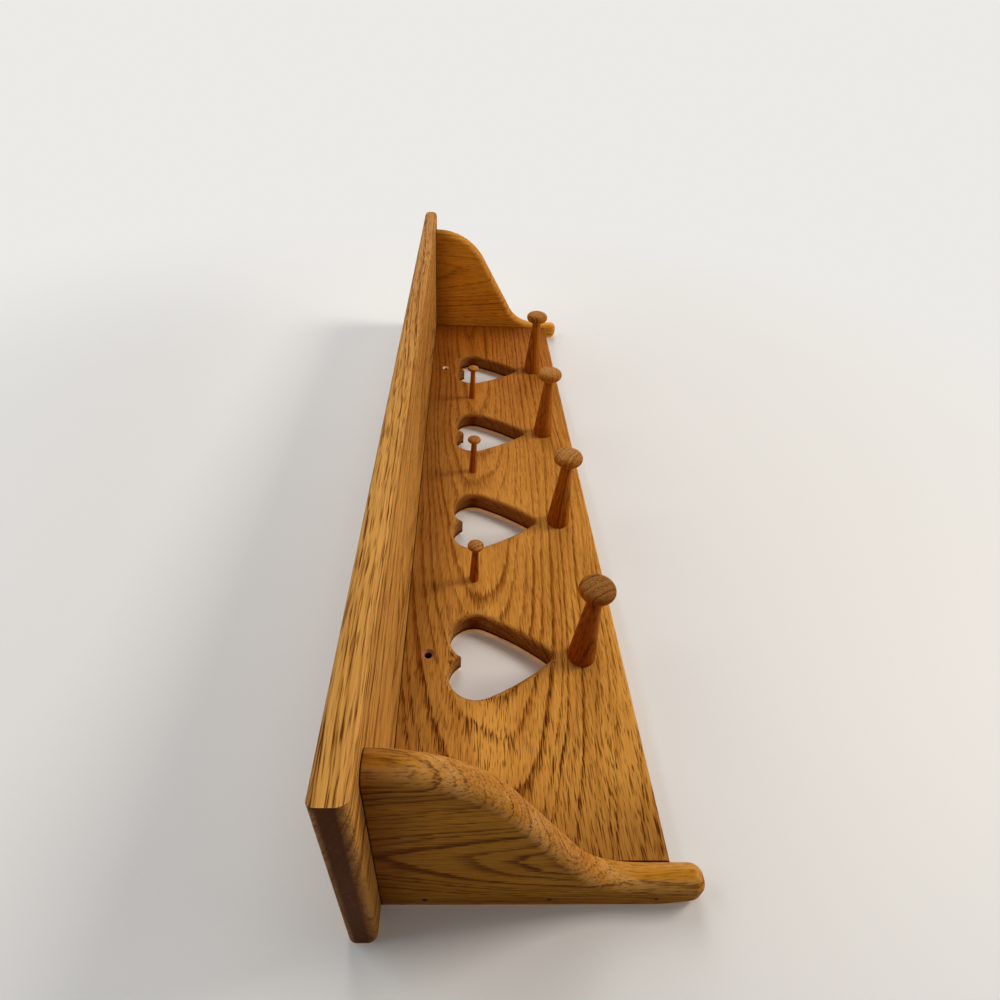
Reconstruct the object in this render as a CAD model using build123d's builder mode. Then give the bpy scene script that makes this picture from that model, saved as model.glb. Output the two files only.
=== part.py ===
"""Shaker peg rail with shelf, in oak: a board pierced with four hearts, carrying four large
and three small turned pegs, between two ogee brackets under a plain shelf.

Millimetres. +X runs along the rail, +Z is up and -Y is the front, so the wall is the plane
Y = 0. The origin is midway between the two wall screw holes, on the wall. A drop is a distance
below the underside of the shelf, and a depth is a distance in front of the wall.
"""
import math
import os

from build123d import *

# Shelf board: laid on top of the brackets and the panel, flush with the wall behind.
shelf_length = 914.4
shelf_depth = 189.5
shelf_thickness = 18.5
shelf_end_overhang = 20.0
shelf_front_overhang = 18.5
shelf_round = 6.0
shelf_edge_flat = 4.0

# Back panel: stands between the brackets, under the shelf, with its back on the wall.
panel_thickness = 18.5
panel_below_pegs = 36.0
panel_bottom_round = 3.0

# Arrises that stand against another board are eased, so that each joint shows as a fine line.
joint_ease = 0.5

# Brackets: the front edge is an ogee, a convex crown above a hollow, and ends in a low foot.
bracket_thickness = 18.5
bracket_round = 8.0
bracket_edge_flat = 2.0
crown_start_drop = 4.0
steepest_slope = 59.3
crown_to_hollow = 1.7
foot_depth = 24.3
foot_length = 39.5
foot_below_panel = 19.5
foot_corner_margin = 1.0
heel_turn = 70.0
blank_allowance = 12.0

# Hearts: two round lobes, bowed sides and a tip that points down, the front rim rounded over.
heart_count = 4
heart_pitch = 173.0
heart_drop = 39.0
lobe_radius = 22.3
lobe_overlap = 3.6
side_bow_radius = 220.0
tip_below_lobes = 67.8
tip_round = 2.5
cleft_round = 0.8
heart_rim_round = 5.5

# Large pegs: one below the tip of each heart.
large_peg_below_tip = 22.9
large_peg_length = 92.5
large_base_radius = 12.0
large_neck_radius = 5.5
large_head_radius = 14.5
large_head_rim = 6.0
large_dome_radius = 26.0
large_tenon_radius = 6.35
large_bore_floor = 4.0
large_base_round = 1.2
large_neck_round = 2.5

# Small pegs: one midway between each two hearts, a little above the middle of their lobes.
small_peg_above_lobes = 0.7
small_peg_length = 48.2
small_base_radius = 4.6
small_neck_radius = 3.0
small_head_radius = 7.5
small_head_rim = 2.2
small_dome_radius = 14.0
small_tenon_radius = 3.175
small_bore_floor = 7.5
small_base_round = 0.4
small_neck_round = 1.0

# Room for the glue round a tenon in its bore, and beyond its end.
tenon_side_clearance = 0.1
tenon_end_clearance = 0.5

# Wall screw holes: countersunk, above the first and the last heart.
screw_drop = 21.0
screw_hole_radius = 2.75
screw_sink_radius = 5.1
screw_sink_angle = 82.0

# Brads: headed wire nails, punched below the surface, in pilot holes.
brad_length = 32.0
brad_radius = 0.8
brad_head_radius = 1.25
brad_head_thickness = 1.0
brad_set = 1.0
brad_clearance = 0.08
upper_brad_drop = 28.0
middle_brad_rise = 81.0
lower_brad_rise = 12.0
front_brad_inset = 41.0
rear_brad_depth = 46.0
panel_brad_count = 5
panel_brad_inset = 38.7

# Drops of the lobes' centres, the tips and the large pegs.
lobe_drop = heart_drop + lobe_radius
tip_drop = lobe_drop + tip_below_lobes
large_peg_drop = tip_drop + large_peg_below_tip
small_peg_drop = lobe_drop - small_peg_above_lobes

# Sizes of the boards, heights, and distances from the middle of the rail.
panel_height = large_peg_drop + panel_below_pegs
bracket_depth = shelf_depth - shelf_front_overhang
shelf_underside = screw_drop
shelf_top = shelf_underside + shelf_thickness
panel_bottom = shelf_underside - panel_height
bracket_bottom = panel_bottom - foot_below_panel
bracket_outer_face = shelf_length / 2 - shelf_end_overhang
bracket_inner_face = bracket_outer_face - bracket_thickness
bracket_middle = bracket_outer_face - bracket_thickness / 2

heart_places = [(number - (heart_count - 1) / 2) * heart_pitch for number in range(heart_count)]
gap_places = [place + heart_pitch / 2 for place in heart_places[:-1]]
large_bores = [(place, shelf_underside - large_peg_drop) for place in heart_places]
small_bores = [(place, shelf_underside - small_peg_drop) for place in gap_places]
screw_holes = [(place, shelf_underside - screw_drop) for place in (heart_places[0], heart_places[-1])]
large_bore_depth = panel_thickness - large_bore_floor
small_bore_depth = panel_thickness - small_bore_floor

brad_depth = panel_thickness / 2
end_brad = bracket_inner_face - panel_brad_inset
brad_pitch = 2 * end_brad / (panel_brad_count - 1)
panel_brads = [(number * brad_pitch - end_brad, -brad_depth) for number in range(panel_brad_count)]
side_brad_heights = [
    shelf_underside - upper_brad_drop,
    panel_bottom + middle_brad_rise,
    panel_bottom + lower_brad_rise,
]

# Faces that pegs and fastenings enter: each plane points out of the wood.
shelf_face = Plane.XY.offset(shelf_top)
under_shelf = Plane.XY.offset(shelf_underside)
panel_face = Plane.XZ.offset(panel_thickness)


def end_face(side, distance):
    """A face across the rail that points away from its middle: side is -1 left, 1 right."""
    return Plane(origin=(side * distance, 0, 0), x_dir=(0, side, 0), z_dir=(side, 0, 0))


def side_brads(side):
    """Places on an end face of the brads from a bracket into the panel's end."""
    return [(-side * brad_depth, height) for height in side_brad_heights]


def top_brads(side):
    """Places on the shelf of the brads into the top of a bracket."""
    along = side * bracket_middle
    return [(along, front_brad_inset - bracket_depth), (along, -rear_brad_depth)]


def save(piece, label):
    """Name a finished piece and write it out."""
    piece.part.label = label
    export_step(piece.part, f"parts/{label}.step")


def pilot_through():
    """Pilot hole where a brad enters: wider at the face, for its punched head."""
    CounterBoreHole(
        radius=brad_radius + brad_clearance,
        counter_bore_radius=brad_head_radius + brad_clearance,
        counter_bore_depth=brad_set + brad_head_thickness,
    )


def pilot_beyond(outer_board):
    """The rest of the pilot hole, in the board behind the one that a brad goes through."""
    reach = brad_set + brad_length - outer_board
    Hole(radius=brad_radius + brad_clearance, depth=reach + brad_clearance)


def save_brads(label, face, places):
    """Brads driven square into one face."""
    with BuildPart() as row:
        with BuildSketch(face.offset(-brad_set - brad_length)):
            with Locations(*places):
                Circle(brad_radius)
        extrude(amount=brad_length)
        with BuildSketch(face.offset(-brad_set - brad_head_thickness)):
            with Locations(*places):
                Circle(brad_head_radius)
        extrude(amount=brad_head_thickness)
    save(row, label)


os.makedirs("parts", exist_ok=True)

# The shelf: rounded over above and below along its front and both ends, square behind. The
# roundings meet in a mitre at the front corners, which stay sharp between them.
with BuildPart() as shelf_board:
    with BuildSketch(under_shelf):
        with Locations((0, -shelf_depth / 2)):
            Rectangle(shelf_length, shelf_depth)
    extrude(amount=shelf_thickness)
    front_edges = shelf_board.edges().filter_by(Axis.X).group_by(Axis.Y)[0]
    end_edges = shelf_board.edges().filter_by(Axis.Y)
    edge_round = min(shelf_round, (shelf_thickness - shelf_edge_flat) / 2)
    fillet(front_edges + end_edges, edge_round)
    with Locations(shelf_face):
        with Locations(*panel_brads, *top_brads(-1), *top_brads(1)):
            pilot_through()
save(shelf_board, "shelf_board")

# The heart: its bowed sides run from the tip and end as tangents to the lobes. A side's centre
# lies across the heart, one bow radius from the tip and nearer by a lobe's radius to the lobe.
lobe_offset = lobe_radius - lobe_overlap
lobe_centre = Vector(lobe_offset, -lobe_drop)
heart_tip = Vector(0, -tip_drop)
lobe_from_tip = (lobe_centre - heart_tip).length
centre_from_lobe = side_bow_radius - lobe_radius
cosine = (side_bow_radius**2 + lobe_from_tip**2 - centre_from_lobe**2) / (2 * side_bow_radius * lobe_from_tip)
to_centre = (lobe_centre - heart_tip).normalized().rotate(Axis.Z, math.degrees(math.acos(cosine)))
side_centre = heart_tip + to_centre * side_bow_radius
side_top = lobe_centre + (lobe_centre - side_centre).normalized() * lobe_radius

with BuildSketch() as heart:
    with Locations((-lobe_offset, -lobe_drop), (lobe_offset, -lobe_drop)):
        Circle(lobe_radius)
    with BuildLine():
        right_side = RadiusArc(heart_tip, side_top, -side_bow_radius)
        left_side = RadiusArc((-side_top.X, side_top.Y), heart_tip, -side_bow_radius)
        Polyline(
            right_side @ 1,
            (lobe_offset, -lobe_drop),
            (-lobe_offset, -lobe_drop),
            left_side @ 0,
        )
    make_face()
    tip, cleft = heart.vertices().sort_by(lambda corner: abs(corner.X))[:2].sort_by(Axis.Y)
    fillet(tip, tip_round)
    fillet(cleft, cleft_round)

# The panel, bored for the tenons of the pegs, the wall screws and the brads.
with BuildPart() as back_panel:
    with BuildSketch(Plane.XZ):
        with Locations((0, (shelf_underside + panel_bottom) / 2)):
            Rectangle(2 * bracket_inner_face, panel_height)
        with Locations(*[(place, shelf_underside) for place in heart_places]):
            add(heart.sketch, mode=Mode.SUBTRACT)
    extrude(amount=panel_thickness)
    chamfer(back_panel.faces().sort_by(Axis.Y)[0].outer_wire().edges().sort_by(Axis.Z)[1:], joint_ease)
    front = back_panel.faces().sort_by(Axis.Y)[0]
    fillet([edge for rim in front.inner_wires() for edge in rim.edges()], heart_rim_round)
    bottom_edges = back_panel.edges().filter_by(Axis.X).group_by(Axis.Z)[0]
    fillet(bottom_edges.sort_by(Axis.Y)[0], panel_bottom_round)
    with Locations(panel_face):
        with Locations(*large_bores):
            Hole(large_tenon_radius + tenon_side_clearance, depth=large_bore_depth)
        with Locations(*small_bores):
            Hole(small_tenon_radius + tenon_side_clearance, depth=small_bore_depth)
        with Locations(*screw_holes):
            CounterSinkHole(screw_hole_radius, screw_sink_radius, counter_sink_angle=screw_sink_angle)
    with Locations(under_shelf):
        with Locations(*panel_brads):
            pilot_beyond(shelf_thickness)
    for side in (-1, 1):
        with Locations(end_face(side, bracket_inner_face)):
            with Locations(*side_brads(side)):
                pilot_beyond(bracket_thickness)
save(back_panel, "back_panel")

# The outline of a bracket's blank, seen from the right. The two arcs of the ogee and the
# straight stretch between them are tangent, and the blank is wider at the back than the bracket.
ogee_run = panel_height + foot_below_panel - crown_start_drop - foot_length
ogee_fall = bracket_depth - foot_depth
slope = math.radians(steepest_slope)
both_radii = (ogee_run * math.sin(slope) - ogee_fall * math.cos(slope)) / (1 - math.cos(slope))
hollow_radius = both_radii / (1 + crown_to_hollow)
crown_radius = both_radii - hollow_radius
bracket_arris = min(bracket_round, (bracket_thickness - bracket_edge_flat) / 2)
foot_corner = bracket_arris + foot_corner_margin
heel_reach = foot_corner * math.sin(math.radians(heel_turn))

with BuildSketch() as ogee:
    with BuildLine():
        crown_centre = (crown_radius - bracket_depth, shelf_underside - crown_start_drop)
        hollow_centre = (-foot_depth - hollow_radius, bracket_bottom + foot_length)
        crown = CenterArc(crown_centre, crown_radius, 180, steepest_slope)
        hollow = CenterArc(hollow_centre, hollow_radius, steepest_slope, -steepest_slope)
        heel = JernArc((-heel_reach, bracket_bottom), (1, 0), foot_corner, heel_turn)
        Line(crown @ 1, hollow @ 0)
        behind = PolarLine(heel @ 1, blank_allowance, heel_turn, length_mode=LengthMode.HORIZONTAL)
        Polyline(hollow @ 1, (-foot_depth, bracket_bottom), heel @ 0)
        Polyline(
            behind @ 1,
            (blank_allowance, shelf_underside),
            (-bracket_depth, shelf_underside),
            crown @ 0,
        )
    make_face()
    fillet(ogee.vertices().sort_by_distance((-foot_depth, bracket_bottom))[0], foot_corner)

# The brackets: both faces are rounded over along the ogee and round the foot, and the blank is
# then cut flush with the wall, so that the rounding runs out at its back.
for side, hand in ((-1, "left"), (1, "right")):
    with BuildPart() as bracket:
        with BuildSketch(Plane.YZ.offset(side * bracket_middle - bracket_thickness / 2)):
            add(ogee.sketch)
        extrude(amount=bracket_thickness)
        for face in bracket.faces().filter_by(Axis.X):
            below_shelf = face.edges().sort_by(Axis.Z)[:-1]
            fillet(below_shelf.sort_by(Axis.Y)[:-1], bracket_arris)
        split(bisect_by=Plane.XZ, keep=Keep.TOP)
        top_edges = bracket.faces().sort_by(Axis.Z)[-1].edges()
        chamfer(top_edges.sort_by(Axis.Y)[:-1], joint_ease)
        with Locations(end_face(side, bracket_outer_face)):
            with Locations(*side_brads(side)):
                pilot_through()
        with Locations(under_shelf):
            with Locations(*top_brads(side)):
                pilot_beyond(shelf_thickness)
    save(bracket, f"{hand}_bracket")
    save_brads(f"{hand}_bracket_brads", end_face(side, bracket_outer_face), side_brads(side))
    save_brads(f"{hand}_shelf_brads", shelf_face, top_brads(side))
save_brads("panel_shelf_brads", shelf_face, panel_brads)


def save_peg(label, bore, length, base_radius, neck_radius, head, tenon, base_round, neck_round):
    """A turned peg: a tenon, a straight taper from base to neck, and a mushroom head.

    The head is a shallow dome and a round rim tangent to it, over a cone as steep as the dome's
    edge. It is given as its radius, the rim's and the dome's, the tenon as radius and length.
    """
    head_radius, rim_radius, dome_radius = head
    tenon_radius, tenon_length = tenon
    rim_offset = head_radius - rim_radius
    rim_angle = math.degrees(math.asin(rim_offset / (dome_radius - rim_radius)))
    dome_centre = (0, length - dome_radius)
    rim_centre = (rim_offset, length - dome_radius + rim_offset / math.tan(math.radians(rim_angle)))
    foot = panel_face.from_local_coords((bore[0], bore[1], 0))
    section_plane = Plane(origin=foot, x_dir=(1, 0, 0), z_dir=(0, 0, -1))
    with BuildPart() as peg:
        with BuildSketch(section_plane) as section:
            with BuildLine():
                dome = CenterArc(dome_centre, dome_radius, 90, -rim_angle)
                rim = CenterArc(rim_centre, rim_radius, 90 - rim_angle, 2 * rim_angle - 180)
                cone_fall = ((rim @ 1).X - neck_radius) * math.tan(math.radians(rim_angle))
                neck = (neck_radius, (rim @ 1).Y - cone_fall)
                Polyline(
                    dome @ 0,
                    (0, -tenon_length),
                    (tenon_radius, -tenon_length),
                    (tenon_radius, 0),
                    (base_radius, 0),
                    neck,
                    rim @ 1,
                )
            make_face()
            fillet(section.vertices().sort_by_distance((base_radius, 0))[0], base_round)
            fillet(section.vertices().sort_by_distance(neck)[0], neck_round)
        revolve(axis=Axis(foot, section_plane.y_dir))
    save(peg, label)


# The pegs: glued by their tenons, with the shoulder of the base down on the panel.
for number, bore in enumerate(large_bores, start=1):
    save_peg(
        f"large_peg_{number}",
        bore,
        large_peg_length,
        large_base_radius,
        large_neck_radius,
        head=(large_head_radius, large_head_rim, large_dome_radius),
        tenon=(large_tenon_radius, large_bore_depth - tenon_end_clearance),
        base_round=large_base_round,
        neck_round=large_neck_round,
    )
for number, bore in enumerate(small_bores, start=1):
    save_peg(
        f"small_peg_{number}",
        bore,
        small_peg_length,
        small_base_radius,
        small_neck_radius,
        head=(small_head_radius, small_head_rim, small_dome_radius),
        tenon=(small_tenon_radius, small_bore_depth - tenon_end_clearance),
        base_round=small_base_round,
        neck_round=small_neck_round,
    )
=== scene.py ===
import math

import bmesh
import bpy
from mathutils import Matrix, Vector


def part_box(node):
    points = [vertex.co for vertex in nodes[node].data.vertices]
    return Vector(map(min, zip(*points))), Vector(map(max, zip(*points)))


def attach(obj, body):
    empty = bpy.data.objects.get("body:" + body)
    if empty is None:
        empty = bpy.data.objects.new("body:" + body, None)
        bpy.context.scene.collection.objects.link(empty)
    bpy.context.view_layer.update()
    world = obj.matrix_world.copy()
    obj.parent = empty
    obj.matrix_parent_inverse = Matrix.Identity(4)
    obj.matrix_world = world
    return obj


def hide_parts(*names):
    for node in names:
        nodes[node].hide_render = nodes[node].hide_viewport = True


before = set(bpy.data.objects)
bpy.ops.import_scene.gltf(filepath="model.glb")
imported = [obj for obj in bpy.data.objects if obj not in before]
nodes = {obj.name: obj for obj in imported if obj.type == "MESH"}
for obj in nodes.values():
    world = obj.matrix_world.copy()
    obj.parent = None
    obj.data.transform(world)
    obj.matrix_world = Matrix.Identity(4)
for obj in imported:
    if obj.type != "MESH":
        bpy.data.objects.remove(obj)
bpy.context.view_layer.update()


# The shelf board. Flat-sawn red oak, planed, rounded over by a router along its front and ends,
# stained golden and given two coats of satin varnish. Its edge has been knocked and handled,
# so the stain is worn pale along the arrises, which are paler still with painted highlight, and
# its end grain has drunk the stain dark.

def linear(hex_colour):
    """An sRGB hex colour as linear RGBA."""
    shades = [int(hex_colour[place:place + 2], 16) / 255 for place in (1, 3, 5)]
    shades = [shade / 12.92 if shade <= 0.04045 else ((shade + 0.055) / 1.055) ** 2.4
              for shade in shades]
    return [*shades, 1]


def add(tree, kind, feeds=None, **settings):
    """Add a node, set it up, and fill its sockets from values, sockets or other nodes."""
    node = tree.nodes.new(kind)
    for name, value in settings.items():
        setattr(node, name, value)
    for key, value in (feeds or {}).items():
        if isinstance(key, int):
            socket = node.inputs[key]
        else:
            socket = next(put for put in node.inputs if put.enabled and put.name == key)
        if isinstance(value, bpy.types.Node):
            value = next(out for out in value.outputs if out.enabled)
        if isinstance(value, bpy.types.NodeSocket):
            tree.links.new(value, socket)
        else:
            socket.default_value = value
    return node


def streaks(tree, wood, length, width, detail, roughness=0.5):
    """Noise drawn out along the grain, in streaks of a length and width in millimetres."""
    wood = {0: wood, 1: (1 / length, 1 / width, 1 / width)}
    wood = add(tree, "ShaderNodeVectorMath", wood, operation="MULTIPLY")
    noise = {"Vector": wood, "Scale": 1.0, "Detail": detail, "Roughness": roughness}
    return add(tree, "ShaderNodeTexNoise", noise)


def growth_rings(tree, board, grown, pith, lean, bend, ring_width):
    """How porous the wood is, from 0 to 1.

    Growth rings lie round the log's heart, no two of one width. Each has a porous band that
    opens suddenly and fades outwards, and the fibres break the edges of the bands.
    """
    # The log leaned and curved, so its heart draws away along the board.
    along = add(tree, "ShaderNodeSeparateXYZ", {0: board}).outputs[0]
    drawn = add(tree, "ShaderNodeMath", {0: along, 1: bend, 2: lean[1]}, operation="MULTIPLY_ADD")
    drawn = add(tree, "ShaderNodeCombineXYZ", {1: lean[0], 2: drawn})
    drawn = add(tree, "ShaderNodeVectorMath", {0: drawn, "Scale": along}, operation="SCALE")
    core = add(tree, "ShaderNodeVectorMath", {0: drawn, 1: (0, *pith)}, operation="ADD")
    log = add(tree, "ShaderNodeVectorMath", {0: grown, 1: core}, operation="SUBTRACT")
    log = add(tree, "ShaderNodeVectorMath", {0: log, 1: (0, 1, 1)}, operation="MULTIPLY")
    radius = add(tree, "ShaderNodeVectorMath", {0: log}, operation="LENGTH").outputs["Value"]
    splinter_depth = 2.4
    splinters = streaks(tree, board, length=24, width=1.5, detail=1.0)
    radius = {0: splinters, 1: splinter_depth, 2: radius}
    radius = add(tree, "ShaderNodeMath", radius, operation="MULTIPLY_ADD")

    # Out from the heart in years. Good and bad years come in spells of about three.
    spells_per_year, spell_swing = 0.37, 2.2
    band_opens, band_ends, faintest = 0.88, 0.5, 0.35
    years = add(tree, "ShaderNodeMath", {0: radius, 1: ring_width}, operation="DIVIDE")
    spell = add(tree, "ShaderNodeMath", {0: years, 1: spells_per_year}, operation="MULTIPLY")
    spell = {"W": spell, "Scale": 1.0, "Detail": 1.0}
    spell = add(tree, "ShaderNodeTexNoise", spell, noise_dimensions="1D")
    years = {0: spell, 1: spell_swing, 2: years}
    years = add(tree, "ShaderNodeMath", years, operation="MULTIPLY_ADD")
    season = add(tree, "ShaderNodeMath", {0: years}, operation="FRACT")
    fade = {"Value": season, "From Min": 0.0, "From Max": band_ends, "To Min": 1.0, "To Max": 0.0}
    fade = add(tree, "ShaderNodeMapRange", fade, interpolation_type="SMOOTHSTEP")
    start = {"Value": season, "From Min": band_opens, "From Max": 1.0}
    start = add(tree, "ShaderNodeMapRange", start, interpolation_type="SMOOTHSTEP")
    porous = add(tree, "ShaderNodeMath", {0: fade, 1: start}, operation="MAXIMUM")

    # Some years' bands are faint, each from where it opens.
    year = add(tree, "ShaderNodeMath", {0: years, 1: 1.0 - band_opens}, operation="ADD")
    year = add(tree, "ShaderNodeMath", {0: year}, operation="FLOOR")
    year = add(tree, "ShaderNodeTexWhiteNoise", {"W": year}, noise_dimensions="1D")
    year = add(tree, "ShaderNodeMapRange", {"Value": year, "To Min": faintest, "To Max": 1.0})
    return add(tree, "ShaderNodeMath", {0: porous, 1: year}, operation="MULTIPLY")


def pale_and_light_arrises(tree, colour, place, facing, wear_and_sheen):
    """Make the arrises pale, where no axis is faced squarely, partly as painted highlight, and
    scratch the stain.

    Rounded edges were sanded through the stain, and are worn paler still in patches of about
    13 mm; the paleness rises sharply off the flat faces, and is partly painted highlight where the
    roundovers catch the light. Hair-fine scratches run anywhere, and are drawn 0.3 mm wide so
    that they show.
    """
    patch, scratch_bend = 13, 15
    square = add(tree, "ShaderNodeVectorMath", {0: facing, 1: facing}, operation="MULTIPLY")
    square = {0: square, 1: square}
    square = add(tree, "ShaderNodeVectorMath", square, operation="DOT_PRODUCT").outputs["Value"]
    arris = {"Value": square, "From Min": 0.99, "From Max": 0.84}
    arris = add(tree, "ShaderNodeMapRange", arris)
    rub = {"Vector": place, "Scale": 1 / patch, "Detail": 4.0, "Roughness": 0.7}
    rub = add(tree, "ShaderNodeTexNoise", rub)
    rub = {"Value": rub, "From Min": 0.4, "From Max": 0.64, "To Min": 0.3, "To Max": 1.0}
    rub = add(tree, "ShaderNodeMapRange", rub)
    rubbed_and_lit = add(tree, "ShaderNodeMath", {0: arris, 1: rub}, operation="MULTIPLY")
    hairs = {"Vector": place, "Scale": 1 / scratch_bend, "Detail": 1.0, "Distortion": 1.5}
    hairs = add(tree, "ShaderNodeTexNoise", hairs)
    hairs = add(tree, "ShaderNodeMath", {0: hairs, 1: 0.5}, operation="SUBTRACT")
    hairs = add(tree, "ShaderNodeMath", {0: hairs}, operation="ABSOLUTE")
    hairs = {"Value": hairs, "From Min": 0.004, "From Max": 0.009, "To Min": 0.22, "To Max": 0.0}
    hairs = add(tree, "ShaderNodeMapRange", hairs)
    rubbed_and_lit = add(tree, "ShaderNodeMath", {0: rubbed_and_lit, 1: hairs}, operation="MAXIMUM")
    rubbed_and_lit = add(tree, "ShaderNodeMath", {0: rubbed_and_lit, 1: wear_and_sheen}, operation="MULTIPLY")
    # The pale tone is partly wood sanded through the stain and partly painted highlight.
    colour = {"Factor": rubbed_and_lit, "A": colour, "B": linear("#cc9858")}
    return add(tree, "ShaderNodeMix", colour, data_type="RGBA")


def paint_joint_shade(tree, colour, axes, sides, axis, joint, width, reach):
    """Paint shade round a joint or an edge: a broad painted shade, and a dark line of painted
    contact shadow, which at a joint is partly the dark joint itself.

    Faces that look straight along the axis are left alone, or they would darken all over.
    """
    squarely, far_off = 32.0, 1000.0
    off = add(tree, "ShaderNodeMath", {0: axes.outputs[axis], 1: joint}, operation="SUBTRACT")
    off = add(tree, "ShaderNodeMath", {0: off}, operation="ABSOLUTE")
    alone = add(tree, "ShaderNodeMath", {0: sides.outputs[axis], 1: squarely}, operation="POWER")
    off = {0: alone, 1: far_off, 2: off}
    off = add(tree, "ShaderNodeMath", off, operation="MULTIPLY_ADD")
    shade = {"Value": off, "From Min": 0.0, "From Max": reach, "To Min": 0.5, "To Max": 0.0}
    shade = add(tree, "ShaderNodeMapRange", shade, interpolation_type="SMOOTHSTEP")
    line = {"Value": off, "From Min": width / 2, "From Max": width, "To Min": 0.85, "To Max": 0.0}
    line = add(tree, "ShaderNodeMapRange", line)
    # The broad painted shade, then the dark line of painted contact shadow.
    for painted_darkening, tone in ((shade, "#5c2a06"), (line, "#2a0b05")):
        colour = {"Factor": painted_darkening, "A": colour, "B": linear(tone)}
        colour = add(tree, "ShaderNodeMix", colour, data_type="RGBA")
    return colour


def bare_screw_hole(tree, colour, place, sides, middle, lit_bare_wood):
    """Bare the pinkish wood in a countersink, and paint the bore dark, as painted shade inside the
    hole.
    """
    sink_radius, bore_radius, bore_edge = 5.1, 2.8, 0.6
    square_on = 0.95
    off = add(tree, "ShaderNodeVectorMath", {0: place, 1: middle}, operation="SUBTRACT")
    off = add(tree, "ShaderNodeVectorMath", {0: off, 1: (1, 0, 1)}, operation="MULTIPLY")
    off = add(tree, "ShaderNodeVectorMath", {0: off}, operation="LENGTH").outputs["Value"]
    inside = add(tree, "ShaderNodeMath", {0: off, 1: sink_radius}, operation="LESS_THAN")
    sunk = add(tree, "ShaderNodeMath", {0: sides.outputs[1], 1: square_on}, operation="LESS_THAN")
    sunk = add(tree, "ShaderNodeMath", {0: inside, 1: sunk}, operation="MULTIPLY")
    wall = {"Value": off, "From Min": bore_radius, "From Max": bore_radius + bore_edge}
    wall = add(tree, "ShaderNodeMapRange", wall)
    # The bore's dark red-brown is painted shade inside the hole.
    wall = {"Factor": wall, "A": linear("#4a1208"), "B": linear(lit_bare_wood)}
    wall = add(tree, "ShaderNodeMix", wall, data_type="RGBA")
    colour = {"Factor": sunk, "A": colour, "B": wall}
    return add(tree, "ShaderNodeMix", colour, data_type="RGBA")


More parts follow.
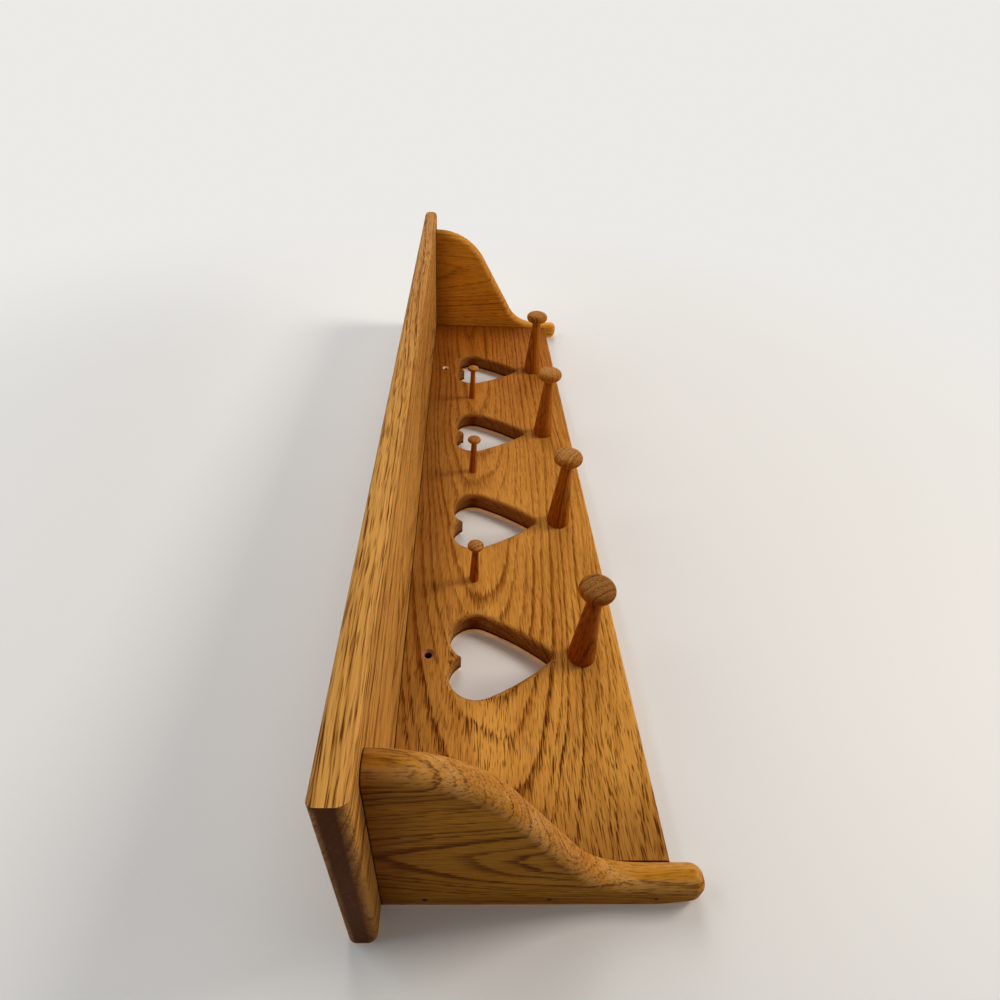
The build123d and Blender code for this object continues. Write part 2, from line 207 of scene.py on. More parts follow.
def oak(name, lie, pith, lean, ring_width, light, dark, pore, bend=0.0, sway=6.0,
        open_grain=(1.0, 1.0), dash=12.0, figure=0.6, side_stain="#ffffff", far_tint="#ffffff",
        end_stain="#ffffff", shaded_seams=(), drilled=(), wear_and_sheen=0.0):
    """Varnished red oak. lie gives the object axes that run along, across and through the board.

    Lengths are in millimetres. pith is how far the log's heart lies across and through the
    board, at the middle of the rail. lean and bend are how it draws away along the board, and
    sway is how far the rings wander. light, dark and pore are the wood between the porous
    bands, the wood in them and the pores, and figure is how strongly the bands show. open_grain
    is how dark the pores stay under the varnish, at the board's near end and past its first
    third, and dash is how long they are. side_stain, far_tint and end_stain are the tints laid
    over the side grain at the near end and at the far end, and over the end grain; on the panel
    the far end's tint is painted shade. shaded_seams are the joints with other boards and the
    panel's back edge, given painted shade, as (axis, place of the joint or edge, width of a dark
    line that is partly painted contact shadow, reach of the painted shade). drilled are the
    middles of the screw holes made after the staining, each with the colour of its bare wood,
    the far one's partly painted highlight. wear_and_sheen is how far the arrises are worn pale
    and given painted highlight.
    """
    material = bpy.data.materials.new(name)
    material.use_nodes = True
    tree = material.node_tree
    shader = tree.nodes["Principled BSDF"]

    # The place in the wood in millimetres, turned so that X runs with the grain, and then as it
    # grew, because the fibres and rings sway over about 200 mm of length.
    place = add(tree, "ShaderNodeTexCoord").outputs["Object"]
    place = add(tree, "ShaderNodeVectorMath", {0: place, "Scale": 1000.0}, operation="SCALE")
    axes = add(tree, "ShaderNodeSeparateXYZ", {0: place})
    along = axes.outputs[lie[0]]
    board = {slot: axes.outputs[axis] for slot, axis in enumerate(lie)}
    board = add(tree, "ShaderNodeCombineXYZ", board)
    wander = streaks(tree, board, length=210, width=52, detail=1.5).outputs["Color"]
    wander = {0: wander, 1: (0.5, 0.5, 0.5)}
    wander = add(tree, "ShaderNodeVectorMath", wander, operation="SUBTRACT")
    grown = {0: wander, 1: (0, 2 * sway, 2 * sway), 2: board}
    grown = add(tree, "ShaderNodeVectorMath", grown, operation="MULTIPLY_ADD")
    porous = growth_rings(tree, board, grown, pith, lean, bend, ring_width)

    # Open pores: cut lengthwise they are dashes, and on end grain they are dots. They lie
    # everywhere, and crowd together in the porous bands. A real pore is 0.3 mm across, and its
    # streak is 0.9 mm wide so that it shows.
    rarity, crowding, softness = 0.52, 0.135, 0.17
    dashes = streaks(tree, grown, length=dash, width=0.9, detail=1.0)
    sparse = {0: porous, 1: -crowding, 2: rarity}
    sparse = add(tree, "ShaderNodeMath", sparse, operation="MULTIPLY_ADD")
    packed = add(tree, "ShaderNodeMath", {0: sparse, 1: softness}, operation="ADD")
    pores = {"Value": dashes, "From Min": sparse, "From Max": packed}
    pores = add(tree, "ShaderNodeMapRange", pores, interpolation_type="SMOOTHSTEP")

    # Fibres of slightly different colour, and broad patches where the stain took unevenly and
    # the rings show more or less.
    fibre_share, patch_share, paleness = 1.5, 0.9, 0.95
    fibres = streaks(tree, grown, length=60, width=1.8, detail=3.0, roughness=0.65)
    patches = streaks(tree, grown, length=190, width=42, detail=2.0)
    depth = {0: fibres, 1: fibre_share, 2: -paleness}
    depth = add(tree, "ShaderNodeMath", depth, operation="MULTIPLY_ADD")
    depth = {0: patches, 1: patch_share, 2: depth}
    depth = add(tree, "ShaderNodeMath", depth, operation="MULTIPLY_ADD")
    shown = {"Value": patches, "From Min": 0.38, "From Max": 0.62,
             "To Min": 0.5 * figure, "To Max": 1.35 * figure}
    shown = add(tree, "ShaderNodeMapRange", shown)
    depth = add(tree, "ShaderNodeMath", {0: porous, 1: shown, 2: depth}, operation="MULTIPLY_ADD")
    colour = {"Factor": depth, "A": linear(light), "B": linear(dark)}
    colour = add(tree, "ShaderNodeMix", colour, data_type="RGBA")

    # The stain, and a tint that deepens towards the board's far end, which on the panel is
    # painted shade. End grain drinks the stain, the more so the more squarely the fibres are cut.
    near_tone, far_tone, end_focus = -240.0, 420.0, 1.6
    facing = add(tree, "ShaderNodeNewGeometry").outputs["Normal"]
    facing = add(tree, "ShaderNodeVectorMath", {0: facing}, operation="ABSOLUTE")
    sides = add(tree, "ShaderNodeSeparateXYZ", {0: facing})
    endwise = {0: sides.outputs[lie[0]], 1: end_focus}
    endwise = add(tree, "ShaderNodeMath", endwise, operation="POWER")
    farther = {"Value": along, "From Min": near_tone, "From Max": far_tone}
    farther = add(tree, "ShaderNodeMapRange", farther)
    stain = {"Factor": farther, "A": linear(side_stain), "B": linear(far_tint)}
    stain = add(tree, "ShaderNodeMix", stain, data_type="RGBA")
    stain = {"Factor": endwise, "A": stain, "B": linear(end_stain)}
    stain = add(tree, "ShaderNodeMix", stain, data_type="RGBA")
    colour = {"Factor": 1.0, "A": colour, "B": stain}
    colour = add(tree, "ShaderNodeMix", colour, data_type="RGBA", blend_type="MULTIPLY")
    if wear_and_sheen:
        colour = pale_and_light_arrises(tree, colour, place, facing, wear_and_sheen)

    # The pores stay dark through it all, most of all in the bands and on end grain, and here and
    # there is a pin knot about 2 mm across.
    near_end, first_third = -400.0, -140.0
    pore_depth, band_extra, end_extra = 0.55, 0.4, 0.35
    knot_spacing = 48
    opening = {"Value": along, "From Min": near_end, "From Max": first_third,
               "To Min": open_grain[0], "To Max": open_grain[1]}
    opening = add(tree, "ShaderNodeMapRange", opening)
    soak = {0: porous, 1: band_extra, 2: pore_depth}
    soak = add(tree, "ShaderNodeMath", soak, operation="MULTIPLY_ADD")
    soak = add(tree, "ShaderNodeMath", {0: soak, 1: opening}, operation="MULTIPLY")
    across = {0: endwise, 1: end_extra, 2: 1.0}
    across = add(tree, "ShaderNodeMath", across, operation="MULTIPLY_ADD")
    soak = add(tree, "ShaderNodeMath", {0: soak, 1: across}, operation="MULTIPLY")
    soak = add(tree, "ShaderNodeMath", {0: pores, 1: soak}, operation="MULTIPLY")
    colour = {"Factor": soak, "A": colour, "B": linear(pore)}
    colour = add(tree, "ShaderNodeMix", colour, data_type="RGBA")
    knots = add(tree, "ShaderNodeTexVoronoi", {"Vector": place, "Scale": 1 / knot_spacing})
    knots = {"Value": knots.outputs["Distance"], "From Min": 0.014, "From Max": 0.024,
             "To Min": 0.8, "To Max": 0.0}
    knots = add(tree, "ShaderNodeMapRange", knots)
    colour = {"Factor": knots, "A": colour, "B": linear("#2e1206")}
    colour = add(tree, "ShaderNodeMix", colour, data_type="RGBA")

    # Painted shade at the joints and round the back edge, each with a dark line of painted contact
    # shadow.
    for seam in shaded_seams:
        colour = paint_joint_shade(tree, colour, axes, sides, *seam)
    # Bare wood in the countersinks, the far one partly painted highlight, and painted shade in the
    # bores.
    for middle, lit_bare_wood in drilled:
        colour = bare_screw_hole(tree, colour, place, sides, middle, lit_bare_wood)

    # Satin varnish, two thin coats that reflect little: it sinks into the pores and leaves them
    # duller and 0.14 mm deep.
    gloss = add(tree, "ShaderNodeMapRange", {"Value": pores, "To Min": 0.42, "To Max": 0.6})
    relief = {"Height": pores, "Strength": 0.5, "Distance": 0.00014}
    relief = add(tree, "ShaderNodeBump", relief, invert=True)
    tree.links.new(next(out for out in colour.outputs if out.enabled), shader.inputs["Base Color"])
    tree.links.new(gloss.outputs[0], shader.inputs["Roughness"])
    tree.links.new(relief.outputs[0], shader.inputs["Normal"])
    shader.inputs["IOR"].default_value = 1.45
    shader.inputs["Specular IOR Level"].default_value = 0.012
    return material


def finish_with(material, *names):
    """Give CAD pieces a finish, in the slot that each already has."""
    for name in names:
        nodes[name].data.materials.clear()
        nodes[name].data.materials.append(material)


shelf_oak = oak(
    "Red oak, shelf, golden stain", lie=(0, 1, 2), pith=(-70, -150), lean=(0.02, 0.05),
    ring_width=4.5, open_grain=(1.4, 1.1), dash=24.0, figure=0.9, light="#d49b4d",
    dark="#9e6628", pore="#633612", far_tint="#e7ddd9", end_stain="#74571e", wear_and_sheen=0.3)
finish_with(shelf_oak, "shelf_board")


# The back panel. One wide flat-sawn board with a cathedral figure down its middle, four hearts
# sawn through it and rounded over at the front, blind bores for the pegs and two screw holes.
# It is given painted shade where it meets the shelf and the brackets, with dark joint lines
# that are partly painted contact shadow, a painted shadow line round its back edges against the
# table, and painted shade that deepens its colour towards the far end.

# Each large peg is below the tip of a heart, so it gives the heart's place, and the screw holes
# are above the first and the last heart.
large_peg_boxes = [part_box(f"large_peg_{number}") for number in (1, 2, 3, 4)]
heart_places = [(low[0] + high[0]) / 2 for low, high in large_peg_boxes]
shelf_underside = 1000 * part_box("shelf_board")[0][2]
panel_end = 1000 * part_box("back_panel")[1][0]
# Painted shade reaches 75 mm from the panel's joints and 40 mm from the brackets', with a dark
# joint line 1.1 mm wide that is partly painted contact shadow. Round the panel's back edge, against
# the table, go a painted shadow line 3.2 mm wide and painted shade reaching 9 mm.
joint_and_shadow_line, panel_shade, bracket_shade = 1.1, 75.0, 40.0
back_shadow_line, back_shade = 3.2, 9.0
panel_shaded_seams = (
    (2, shelf_underside, joint_and_shadow_line, panel_shade),
    (0, -panel_end, joint_and_shadow_line, panel_shade),
    (0, panel_end, joint_and_shadow_line, panel_shade),
    (1, 0.0, back_shadow_line, back_shade),
)
# Each hole with the colour of its bare wood; the far one's paler colour is partly painted
# highlight.
screw_holes = (
    ((1000 * heart_places[0], 0, 0), "#a8735c"),
    ((1000 * heart_places[-1], 0, 0), "#f2c29c"),
)
panel_oak = oak(
    "Red oak, panel, golden stain", lie=(0, 2, 1), pith=(-46, 18), lean=(0.015, -0.09),
    bend=0.00011, ring_width=6.2, sway=8.0, open_grain=(1.5, 0.6), figure=0.72,
    light="#e0a24a", dark="#a5641e", pore="#5c2f0b", far_tint="#caa576", end_stain="#94683e",
    shaded_seams=panel_shaded_seams, drilled=screw_holes, wear_and_sheen=0.3)
finish_with(panel_oak, "back_panel")


# The brackets. Short lengths of the same oak with the grain running down from the shelf, band-sawn
# to the ogee, rounded over on both faces and sanded, then glued and nailed to the panel's ends.

bracket_shaded_seams = ((2, shelf_underside, joint_and_shadow_line, bracket_shade),)
# The two brackets are one oak coloured apart: the left darker, partly as painted shade on its outer
# face, and the right lighter, partly as painted light on its inner face.
left_oak = oak(
    "Red oak, left bracket, golden stain", lie=(2, 1, 0), pith=(-75, -380), lean=(0.0, 0.15),
    ring_width=4.2, sway=9.0, open_grain=(0.75, 0.75), figure=0.8, light="#c68627",
    dark="#80480f", pore="#54300c", end_stain="#ecd2a4", shaded_seams=bracket_shaded_seams, wear_and_sheen=0.7)
right_oak = oak(
    "Red oak, right bracket, golden stain", lie=(2, 1, 0), pith=(-110, 380), lean=(0.03, 0.05),
    ring_width=5.0, open_grain=(0.6, 0.6), light="#f2a834", dark="#c47a22", pore="#6c3f12",
    end_stain="#e4c8a0", shaded_seams=bracket_shaded_seams, wear_and_sheen=0.5)
finish_with(left_oak, "left_bracket")
finish_with(right_oak, "right_bracket")


# The pegs. Turned between centres from straight-grained oak with the grain along the peg, so that
# the heads show end grain, stained a little redder than the boards and glued in by their tenons.
# Each is an outline, given as sizes, swept round its axis as on a lathe.

def workshop_tool(name, **inputs):
    """An empty Geometry Nodes tree. inputs are the names of its sockets, with their kinds."""
    tool = bpy.data.node_groups.new(name, "GeometryNodeTree")
    tool.is_modifier = True
    tool.interface.new_socket("Geometry", in_out="OUTPUT", socket_type="NodeSocketGeometry")
    for socket_name, kind in inputs.items():
        tool.interface.new_socket(socket_name, in_out="INPUT", socket_type="NodeSocket" + kind)
    return tool


def make_with(tool, name, mesh, **sizes):
    """Work a mesh with a Geometry Nodes tree, and keep what comes out as a plain mesh."""
    blank = bpy.data.objects.new("blank", mesh)
    bpy.context.scene.collection.objects.link(blank)
    modifier = blank.modifiers.new(tool.name, "NODES")
    modifier.node_group = tool
    for item in tool.interface.items_tree:
        if item.name in sizes:
            modifier[item.identifier] = sizes[item.name]
    made = blank.evaluated_get(bpy.context.evaluated_depsgraph_get())
    made = bpy.data.objects.new(name, bpy.data.meshes.new_from_object(made))
    bpy.data.objects.remove(blank)
    bpy.context.scene.collection.objects.link(made)
    return made


turning = workshop_tool(
    "turned peg", length="Float", base_radius="Float", neck_height="Float", neck_radius="Float",
    rim_inset="Float", rim_height="Float", rim_radius="Float", dome_radius="Float",
    dome_angle="Float", base_round="Float", neck_round="Float", tenon_radius="Float",
    tenon_length="Float", tool_marks="Float", seed="Float", place="Vector", wood="Material")
given = add(turning, "NodeGroupInput").outputs

# The outline from the end of the tenon to the underside of the head, X for the radius and Y for
# the height above the panel, with the arrises at the base and the neck rounded.
steepness = add(turning, "ShaderNodeMath", {0: given["dome_angle"]}, operation="SINE")
flatness = add(turning, "ShaderNodeMath", {0: given["dome_angle"]}, operation="COSINE")
under_radius = {0: steepness, 1: given["rim_radius"], 2: given["rim_inset"]}
under_radius = add(turning, "ShaderNodeMath", under_radius, operation="MULTIPLY_ADD")
under_height = {0: flatness, 1: given["rim_radius"]}
under_height = add(turning, "ShaderNodeMath", under_height, operation="MULTIPLY")
under_height = {0: given["rim_height"], 1: under_height}
under_height = add(turning, "ShaderNodeMath", under_height, operation="SUBTRACT")
tenon_end = {0: given["tenon_length"], 1: -1.0}
tenon_end = add(turning, "ShaderNodeMath", tenon_end, operation="MULTIPLY")
corners = [
    {1: tenon_end},
    {0: given["tenon_radius"], 1: tenon_end},
    {0: given["tenon_radius"]},
    {0: given["base_radius"]},
    {0: given["neck_radius"], 1: given["neck_height"]},
    {0: under_radius, 1: under_height},
]
base_corner, neck_corner = 3, 4
order = add(turning, "GeometryNodeInputIndex")
where = add(turning, "GeometryNodeIndexSwitch", data_type="VECTOR")
while len(where.index_switch_items) < len(corners):
    where.index_switch_items.new()
turning.links.new(order.outputs[0], where.inputs["Index"])
for number, corner in enumerate(corners, start=1):
    corner = add(turning, "ShaderNodeCombineXYZ", corner)
    turning.links.new(corner.outputs[0], where.inputs[number])
shaft = add(turning, "GeometryNodeMeshLine", {"Count": len(corners)})
shaft = add(turning, "GeometryNodeSetPosition", {"Geometry": shaft, "Position": where})
shaft = add(turning, "GeometryNodeMeshToCurve", {"Mesh": shaft})
at_base = {"A": order, "B": base_corner}
at_base = add(turning, "FunctionNodeCompare", at_base, data_type="INT", operation="EQUAL")
at_neck = {"A": order, "B": neck_corner}
at_neck = add(turning, "FunctionNodeCompare", at_neck, data_type="INT", operation="EQUAL")
rounding = {0: at_base, 1: given["base_round"]}
rounding = add(turning, "ShaderNodeMath", rounding, operation="MULTIPLY")
rounding = {0: at_neck, 1: given["neck_round"], 2: rounding}
rounding = add(turning, "ShaderNodeMath", rounding, operation="MULTIPLY_ADD")
shaft = add(turning, "GeometryNodeFilletCurve", {"Curve": shaft, "Radius": rounding}, mode="POLY")
shaft.inputs["Count"].default_value = 5

# The rim and the dome of the head are arcs that run into each other.
quarter_turn = math.pi / 2
rim_start = {0: given["dome_angle"], 1: quarter_turn}
rim_start = add(turning, "ShaderNodeMath", rim_start, operation="SUBTRACT")
rim_sweep = add(turning, "ShaderNodeMath", {0: rim_start, 1: -2.0}, operation="MULTIPLY")
rim = {"Resolution": 14, "Radius": given["rim_radius"], "Start Angle": rim_start,
       "Sweep Angle": rim_sweep}
rim = add(turning, "GeometryNodeCurveArc", rim, mode="RADIUS")
rim_centre = {0: given["rim_inset"], 1: given["rim_height"]}
rim_centre = add(turning, "ShaderNodeCombineXYZ", rim_centre)
rim = add(turning, "GeometryNodeTransform", {"Geometry": rim, "Translation": rim_centre})
dome_start = {0: quarter_turn, 1: given["dome_angle"]}
dome_start = add(turning, "ShaderNodeMath", dome_start, operation="SUBTRACT")
dome = {"Resolution": 10, "Radius": given["dome_radius"], "Start Angle": dome_start,
        "Sweep Angle": given["dome_angle"]}
dome = add(turning, "GeometryNodeCurveArc", dome, mode="RADIUS")
dome_centre = {0: given["length"], 1: given["dome_radius"]}
dome_centre = add(turning, "ShaderNodeMath", dome_centre, operation="SUBTRACT")
dome_centre = add(turning, "ShaderNodeCombineXYZ", {1: dome_centre})
dome = add(turning, "GeometryNodeTransform", {"Geometry": dome, "Translation": dome_centre})
outline = add(turning, "GeometryNodeJoinGeometry", {"Geometry": shaft})
turning.links.new(rim.outputs[0], outline.inputs[0])
turning.links.new(dome.outputs[0], outline.inputs[0])

# The lathe: each point of the outline becomes a ring round the axis, its radius a hair out of
# true, as a hand-held gouge leaves it in marks about 4 mm apart. Points on the axis stay there.
marks_per_metre = 260.0
spot = add(turning, "ShaderNodeSeparateXYZ", {0: add(turning, "GeometryNodeInputPosition")})
trace = {0: spot.outputs[1], 1: marks_per_metre, 2: given["seed"]}
trace = add(turning, "ShaderNodeMath", trace, operation="MULTIPLY_ADD")
trace = {"W": trace, "Scale": 1.0, "Detail": 1.0}
trace = add(turning, "ShaderNodeTexNoise", trace, noise_dimensions="1D")
trace = add(turning, "ShaderNodeMath", {0: trace, 1: 0.5}, operation="SUBTRACT")
trace = add(turning, "ShaderNodeMath", {0: trace, 1: given["tool_marks"]}, operation="MULTIPLY")
off_axis = {0: spot.outputs[0], 1: 0.001}
off_axis = add(turning, "ShaderNodeMath", off_axis, operation="GREATER_THAN")
cut = {0: trace, 1: off_axis, 2: spot.outputs[0]}
cut = add(turning, "ShaderNodeMath", cut, operation="MULTIPLY_ADD")
held = add(turning, "GeometryNodeCaptureAttribute", {"Geometry": outline})
held.capture_items.new("FLOAT", "Radius")
turning.links.new(cut.outputs[0], held.inputs["Radius"])
axle = add(turning, "ShaderNodeCombineXYZ", {1: spot.outputs[1]})
axle = {"Geometry": held.outputs["Geometry"], "Position": axle}
axle = add(turning, "GeometryNodeSetPosition", axle)
ring = add(turning, "GeometryNodeCurvePrimitiveCircle", {"Resolution": 56, "Radius": 1.0})
peg = {"Curve": axle, "Profile Curve": ring.outputs["Curve"], "Scale": held.outputs["Radius"]}
peg = add(turning, "GeometryNodeCurveToMesh", peg)
peg = add(turning, "GeometryNodeMergeByDistance", {"Geometry": peg, "Distance": 0.00001})
peg = {"Geometry": peg, "Translation": given["place"], "Rotation": (math.pi, 0, 0)}
peg = add(turning, "GeometryNodeTransform", peg)
smooth = add(turning, "GeometryNodeInputMeshEdgeAngle").outputs[0]
smooth = add(turning, "ShaderNodeMath", {0: smooth, 1: math.radians(40)}, operation="LESS_THAN")
peg = {"Geometry": peg, "Shade Smooth": smooth}
peg = add(turning, "GeometryNodeSetShadeSmooth", peg, domain="EDGE")
peg = {"Geometry": peg, "Shade Smooth": True}
peg = add(turning, "GeometryNodeSetShadeSmooth", peg, domain="FACE")
peg = add(turning, "GeometryNodeRealizeInstances", {"Geometry": peg})
peg = add(turning, "GeometryNodeSetMaterial", {"Geometry": peg, "Material": given["wood"]})
add(turning, "NodeGroupOutput", {"Geometry": peg})

peg_oak = oak(
    "Red oak, turned peg, red-brown stain", lie=(1, 0, 2), pith=(60, 90), lean=(0, 0),
    ring_width=3.4, open_grain=(0.8, 0.8), light="#e1aa67", dark="#aa7138", pore="#63381a",
    side_stain="#dab364", far_tint="#dab364", end_stain="#ddd2c2")
dark_peg_oak = oak(
    "Red oak, turned peg, dark stick", lie=(1, 0, 2), pith=(60, 90), lean=(0, 0),
    ring_width=3.4, open_grain=(0.8, 0.8), light="#b4834a", dark="#865626", pore="#4f2c10",
    side_stain="#f3c080", far_tint="#f3c080", end_stain="#dcd1c4")


def turn_peg(node, wood, length, base, neck, head, rim_radius, dome_radius, base_round, neck_round,
             tenon):
    """Turn one peg to its sizes in millimetres, in the place of its CAD node."""
    low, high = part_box(node)
    rim_inset = head - rim_radius
    dome_angle = math.asin(rim_inset / (dome_radius - rim_radius))
    rim_height = length - dome_radius + rim_inset / math.tan(dome_angle)
    cone_edge = rim_inset + rim_radius * math.sin(dome_angle)
    cone_fall = (cone_edge - neck) * math.tan(dome_angle)
    neck_height = rim_height - rim_radius * math.cos(dome_angle) - cone_fall
    sizes = {
        "length": length, "base_radius": base, "neck_height": neck_height, "neck_radius": neck,
        "rim_inset": rim_inset, "rim_height": rim_height, "rim_radius": rim_radius,
        "dome_radius": dome_radius, "base_round": base_round, "neck_round": neck_round,
        "tenon_radius": tenon[0], "tenon_length": tenon[1], "tool_marks": 0.25,
    }
    sizes = {name: size / 1000 for name, size in sizes.items()}
    shoulder = low[1] + sizes["length"]
    place = ((low[0] + high[0]) / 2, shoulder, (low[2] + high[2]) / 2)

    # No two pegs have the same tool marks: they change with every 7 mm along the rail.
    mark_step = 0.007
    turned = make_with(
        turning, node.replace("_", "_turned_", 1), bpy.data.meshes.new("blank"),
        dome_angle=dome_angle, seed=low[0] / mark_step, place=place, wood=wood, **sizes)
    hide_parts(node)
    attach(turned, "root")


for number, wood in ((1, dark_peg_oak), (2, peg_oak), (3, peg_oak), (4, peg_oak)):
    turn_peg(f"large_peg_{number}", wood, length=92.5, base=12.0, neck=5.5, head=14.5,
             rim_radius=6.0, dome_radius=26.0, base_round=1.2, neck_round=2.5, tenon=(6.35, 14.0))
for number in (1, 2, 3):
    turn_peg(f"small_peg_{number}", peg_oak, length=48.2, base=4.6, neck=3.0, head=7.5,
             rim_radius=2.2, dome_radius=14.0, base_round=0.4, neck_round=1.0, tenon=(3.175, 10.5))


# The brads. Steel wire nails, punched below the surface. Their holes are stopped with dark red wax
# that has picked up dust. On the brackets it was smeared with a thumb, and stands a hair proud,
# and in the shelf's top it has shrunk just below the wood. The specks of dust are about 0.7 mm.

stopping = bpy.data.materials.new("Dark red wax stopping")
stopping.use_nodes = True
tree = stopping.node_tree
wax = tree.nodes["Principled BSDF"]
place = add(tree, "ShaderNodeTexCoord").outputs["Object"]
dust = add(tree, "ShaderNodeTexNoise", {"Vector": place, "Scale": 1500.0, "Detail": 2.0})
wax_colour = {"Factor": dust, "A": linear("#4a1a10"), "B": linear("#1c0805")}
wax_colour = add(tree, "ShaderNodeMix", wax_colour, data_type="RGBA")
wax_colour = next(out for out in wax_colour.outputs if out.enabled)
tree.links.new(wax_colour, wax.inputs["Base Color"])
wax.inputs["Roughness"].default_value = 0.6
wax.inputs["Specular IOR Level"].default_value = 0.2
finish_with(stopping, *(name for name in nodes if name.endswith("brads")))

# Each nail of a group is an island of the group's mesh, and its dab of wax sits over the middle.
stopper = workshop_tool("wax stopping", nails="Geometry", across="Vector", middle="Vector",
                        size="Vector", seed="Int", wax="Material")
given = add(stopper, "NodeGroupInput").outputs
nails = {"Geometry": given["nails"], "Distance": 0.000001}
nails = add(stopper, "GeometryNodeMergeByDistance", nails)
nail = add(stopper, "GeometryNodeInputMeshIsland").outputs["Island Index"]
points = {"Value": 1, "Group ID": nail}
points = add(stopper, "GeometryNodeAccumulateField", points, data_type="INT")
summed = {"Value": add(stopper, "GeometryNodeInputPosition"), "Group ID": nail}
summed = add(stopper, "GeometryNodeAccumulateField", summed, data_type="FLOAT_VECTOR")
share = add(stopper, "ShaderNodeMath", {0: 1.0, 1: points.outputs["Total"]}, operation="DIVIDE")
middle = {0: summed.outputs["Total"], "Scale": share}
middle = add(stopper, "ShaderNodeVectorMath", middle, operation="SCALE")
middle = {0: middle, 1: given["across"], 2: given["middle"]}
middle = add(stopper, "ShaderNodeVectorMath", middle, operation="MULTIPLY_ADD")
nails = add(stopper, "GeometryNodeSetPosition", {"Geometry": nails, "Position": middle})
first = {"A": points.outputs["Trailing"], "B": 0}
first = add(stopper, "FunctionNodeCompare", first, data_type="INT", operation="EQUAL")
dab = add(stopper, "GeometryNodeMeshUVSphere", {"Segments": 16, "Rings": 8, "Radius": 1.0})
uneven = {"Min": 0.8, "Max": 1.15, "Seed": given["seed"]}
uneven = add(stopper, "FunctionNodeRandomValue", uneven, data_type="FLOAT")
size = {0: given["size"], "Scale": uneven}
size = add(stopper, "ShaderNodeVectorMath", size, operation="SCALE")
dabs = {"Points": nails, "Selection": first, "Instance": dab.outputs["Mesh"], "Scale": size}
dabs = add(stopper, "GeometryNodeInstanceOnPoints", dabs)
dabs = add(stopper, "GeometryNodeRealizeInstances", {"Geometry": dabs})
dabs = add(stopper, "GeometryNodeSetShadeSmooth", {"Geometry": dabs, "Shade Smooth": True})
dabs = add(stopper, "GeometryNodeSetMaterial", {"Geometry": dabs, "Material": given["wax"]})
add(stopper, "NodeGroupOutput", {"Geometry": dabs})


def stop_holes(node, axis, wood_face, dab, seed):
    """Dab wax over the nails of a group. dab is its half sizes in millimetres."""
    filled = make_with(
        stopper, node.replace("brads", "stopping"), nodes[node].data.copy(),
        across=[float(way != axis) for way in range(3)],
        middle=[wood_face if way == axis else 0.0 for way in range(3)],
        size=[half / 1000 for half in dab], seed=seed, wax=stopping)
    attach(filled, "root")


bracket_dab, shelf_dab = (0.2, 2.0, 1.7), (1.3, 1.3, 0.8)
left_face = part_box("left_bracket")[0][0]
right_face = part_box("right_bracket")[1][0]
shelf_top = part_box("shelf_board")[1][2]
wax_shrinkage = 0.0010
stop_holes("left_bracket_brads", 0, left_face, bracket_dab, seed=1)
stop_holes("right_bracket_brads", 0, right_face, bracket_dab, seed=2)
shelf_brads = ("left_shelf_brads", "right_shelf_brads", "panel_shelf_brads")
for number, name in enumerate(shelf_brads, start=3):
    stop_holes(name, 2, shelf_top - wax_shrinkage, shelf_dab, seed=number)


# The table top that the rail lies on, in its back's plane. It is white laminate, cut away behind
# the wood, where nothing of it can show. Behind each heart it is a shallow dish, because the
# panel stands a little clear of it there, and behind each screw hole it is a disc.

table_reach = 6.0
table_gap = 0.0004
table_lap = 0.004
dish_depth = 0.0026
dish_half_width, dish_top, dish_bottom = 0.048, -0.010, -0.116
disc_radius, disc_sides = 0.008, 24

table_mesh = bmesh.new()


def table_face(corners, depth):
    """A flat piece of the table top, facing the front, from (x, z) corners."""
    face = table_mesh.faces.new([table_mesh.verts.new((x, depth, z)) for x, z in corners])
    face.normal_update()
    if face.normal.y > 0:
        face.normal_flip()


def rectangle(left, right, bottom, top):
    """The (x, z) corners of a rectangle in the wall's plane."""
    return [(left, bottom), (right, bottom), (right, top), (left, top)]


edge = rectangle(-table_reach, table_reach, -table_reach, table_reach)
panel_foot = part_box("back_panel")[0][2]
hole = rectangle(left_face + table_lap, right_face - table_lap,
                 panel_foot + table_lap, shelf_top - table_lap)
for corner in range(4):
    after = (corner + 1) % 4
    table_face([edge[corner], edge[after], hole[after], hole[corner]], table_gap)
for middle in (heart_places[0], heart_places[-1]):
    turns = [step * math.tau / disc_sides for step in range(disc_sides)]
    disc = [(middle + disc_radius * math.cos(turn), disc_radius * math.sin(turn)) for turn in turns]
    table_face(disc, table_gap)
for middle in heart_places:
    left, right = middle - dish_half_width, middle + dish_half_width
    table_face(rectangle(left, right, dish_bottom, dish_top), dish_depth)

table_data = bpy.data.meshes.new("table_top")
table_mesh.to_mesh(table_data)
table_mesh.free()
table_top = bpy.data.objects.new("table_top", table_data)
bpy.context.scene.collection.objects.link(table_top)

# The laminate is a soft white. Away from the rail it fades, to the eye alone, into the backdrop.
# Its underside is clear to the eye, so that the rail can be looked at from behind, and where it
# lies closer to the wood than light_gap it throws no shadow there, so that the rail's back is lit.
light_gap = 0.0035
laminate = bpy.data.materials.new("White laminate table top")
laminate.use_nodes = True
tree = laminate.node_tree
shader = tree.nodes["Principled BSDF"]
shader.inputs["Base Color"].default_value = linear("#e6e5e3")
shader.inputs["Roughness"].default_value = 0.55
spot = add(tree, "ShaderNodeTexCoord").outputs["Object"]
far = add(tree, "ShaderNodeVectorMath", {0: spot}, operation="LENGTH").outputs["Value"]
far = {"Value": far, "From Min": 0.5, "From Max": 1.2}
far = add(tree, "ShaderNodeMapRange", far, interpolation_type="SMOOTHSTEP")
ray = add(tree, "ShaderNodeLightPath")
pale = {0: far, 1: ray.outputs["Is Camera Ray"]}
pale = add(tree, "ShaderNodeMath", pale, operation="MULTIPLY")
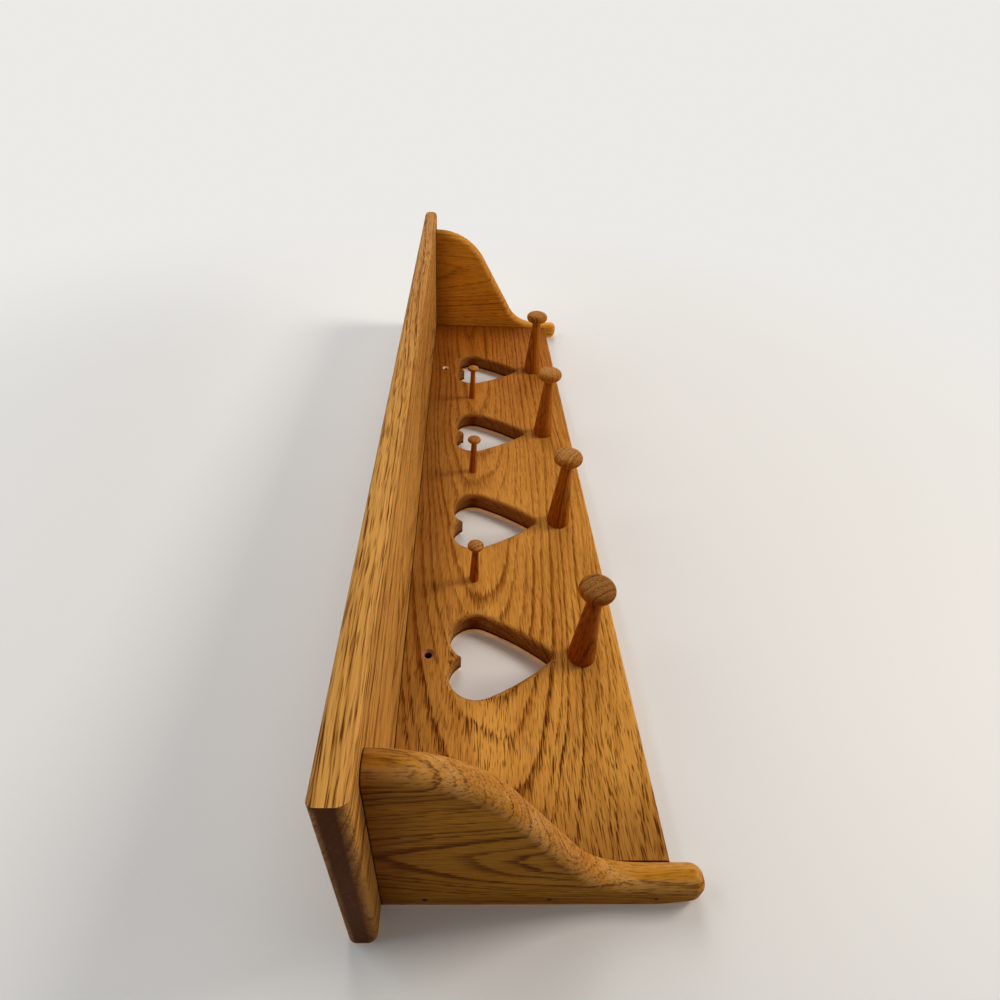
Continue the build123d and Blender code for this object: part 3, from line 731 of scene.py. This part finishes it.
glow = add(tree, "ShaderNodeEmission", {"Color": linear("#eceae7"), "Strength": 1.0})
seen = add(tree, "ShaderNodeMixShader", {0: pale, 1: shader, 2: glow})
behind = add(tree, "ShaderNodeNewGeometry").outputs["Backfacing"]
behind = {0: behind, 1: ray.outputs["Is Camera Ray"]}
behind = add(tree, "ShaderNodeMath", behind, operation="MULTIPLY")
close = {0: ray.outputs["Ray Length"], 1: light_gap}
close = add(tree, "ShaderNodeMath", close, operation="LESS_THAN")
close = {0: close, 1: ray.outputs["Is Shadow Ray"]}
close = add(tree, "ShaderNodeMath", close, operation="MULTIPLY")
open_to = add(tree, "ShaderNodeMath", {0: behind, 1: close}, operation="MAXIMUM")
clear = add(tree, "ShaderNodeBsdfTransparent")
surface = add(tree, "ShaderNodeMixShader", {0: open_to, 1: seen, 2: clear})
tree.links.new(surface.outputs[0], tree.nodes["Material Output"].inputs["Surface"])
table_data.materials.append(laminate)


# The room. Soft daylight from the windows on the right, pale walls and ceiling that throw it
# back, and a lamp behind the rail for its back.

rail_middle = Vector((0, -0.05, -0.07))


def lamp(name, towards, distance, width, height, strength, hex_colour):
    """A soft lamp. strength is the share of full daylight that it throws on a surface facing it."""
    data = bpy.data.lights.new(name, "AREA")
    data.shape = "RECTANGLE"
    data.size = width
    data.size_y = height
    data.energy = strength * (math.pi * distance) ** 2
    data.color = linear(hex_colour)[:3]
    holder = bpy.data.objects.new(name, data)
    direction = Vector(towards).normalized()
    holder.location = rail_middle + direction * distance
    holder.rotation_mode = "QUATERNION"
    holder.rotation_quaternion = (-direction).to_track_quat("-Z", "Y")
    holder.visible_camera = False
    bpy.context.scene.collection.objects.link(holder)


lamp("window", (0.15, -0.72, -0.68), 3.0, 0.9, 0.9, 0.46, "#fff6ea")
lamp("low_window", (0.1, -0.17, -1.0), 3.0, 3.4, 0.9, 0.4, "#fff5e8")
lamp("far_wall", (0.85, -0.5, 0.1), 4.5, 3.4, 2.6, 0.27, "#fffdfb")
lamp("far_ceiling", (0.6, -0.8, 0.0), 3.5, 2.0, 2.0, 0.2, "#fffdfb")
lamp("left_wall", (0.1, -0.6, 0.8), 3.0, 2.6, 1.8, 0.48, "#f8fcff")
lamp("near_ceiling", (-0.35, -0.93, 0.0), 1.8, 1.2, 1.2, 0.13, "#fffdfb")
lamp("behind", (-0.2, 1.0, 0.45), 2.4, 1.6, 1.6, 0.85, "#fffdfb")

world = bpy.data.worlds.new("White walls")
bpy.context.scene.world = world
world.use_nodes = True
tree = world.node_tree
ray = add(tree, "ShaderNodeLightPath")
walls = add(tree, "ShaderNodeBackground", {"Color": linear("#ffffff"), "Strength": 0.01})
backdrop = add(tree, "ShaderNodeBackground", {"Color": linear("#eceae7"), "Strength": 1.0})
sky = add(tree, "ShaderNodeMixShader", {0: ray.outputs["Is Camera Ray"], 1: walls, 2: backdrop})
tree.links.new(sky.outputs[0], tree.nodes["World Output"].inputs["Surface"])


# The camera stands at the near end, above the rail, and looks along it towards the far end.

camera_data = bpy.data.cameras.new("camera")
camera_data.sensor_fit = "HORIZONTAL"
camera_data.sensor_width = 36.0
camera_data.lens = 21.334
camera_data.shift_x = 0.0199
camera_data.shift_y = -0.0034
camera = bpy.data.objects.new("camera", camera_data)
camera_place = (-0.56382, -0.44422, -0.02116)
ahead = Vector((0.77096, 0.63567, -0.03926)).normalized()
right = Vector((-0.01531, -0.04313, -0.99895))
right = (right - right.dot(ahead) * ahead).normalized()
up = right.cross(ahead)
turn = Matrix((right, up, -ahead)).transposed().to_4x4()
camera.matrix_world = Matrix.Translation(camera_place) @ turn
bpy.context.scene.collection.objects.link(camera)
bpy.context.scene.camera = camera
bpy.context.scene.view_settings.view_transform = "Standard"
